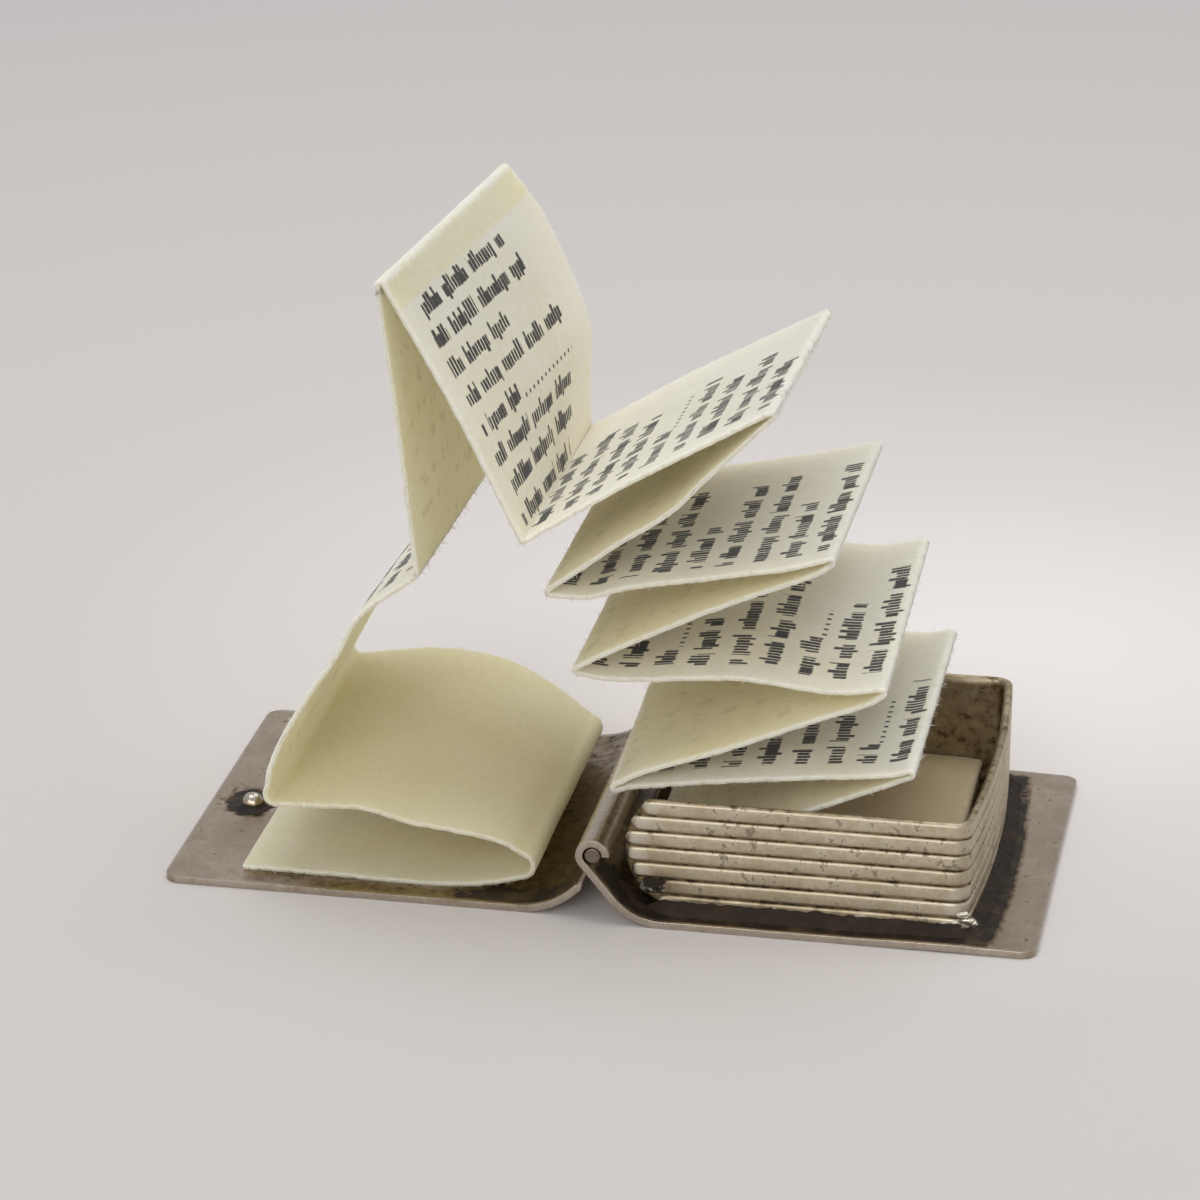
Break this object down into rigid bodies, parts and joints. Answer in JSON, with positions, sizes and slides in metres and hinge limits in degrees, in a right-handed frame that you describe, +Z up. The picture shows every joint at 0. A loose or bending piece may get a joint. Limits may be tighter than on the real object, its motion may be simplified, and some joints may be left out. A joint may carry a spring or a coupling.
{
  "type": "open book",
  "caption": "Miniature silver book lying open: two sheet covers on a pin hinge, a ridged page box with a catch stud, and a paper strip folded zigzag between the covers.",
  "frame": {"origin": "on the surface the book rests on, under the hinge axis and half way along it", "axes": "+X from the hinge towards the free edge of the back cover, +Y along the hinge away from the viewer, +Z up"},
  "size_m": [0.0292, 0.0154, 0.0216],
  "materials": {
    "cover_silver": "tarnished sheet silver, satin, with brown shadow in the bends",
    "ridged_silver": "worn silver, bright on the ridges and dark in the grooves",
    "pin_silver": "dull drawn wire",
    "page_paper": "matt cream paper, printed on one side"
  },
  "bodies": {
    "back": {"back_cover": "cover_silver", "page_box": "ridged_silver", "hinge_pin": "pin_silver", "folded_pages": "page_paper"},
    "front": {"front_cover": "cover_silver", "catch_stud": "ridged_silver"}
  },
  "joints": [
    {"name": "cover_hinge", "type": "hinge", "parent": "back", "child": "front", "pos_m": [0, 0, 0.00238], "axis": [0, 1, 0], "range_deg": [0, 180], "deforming": ["folded_pages"]}
  ]
}
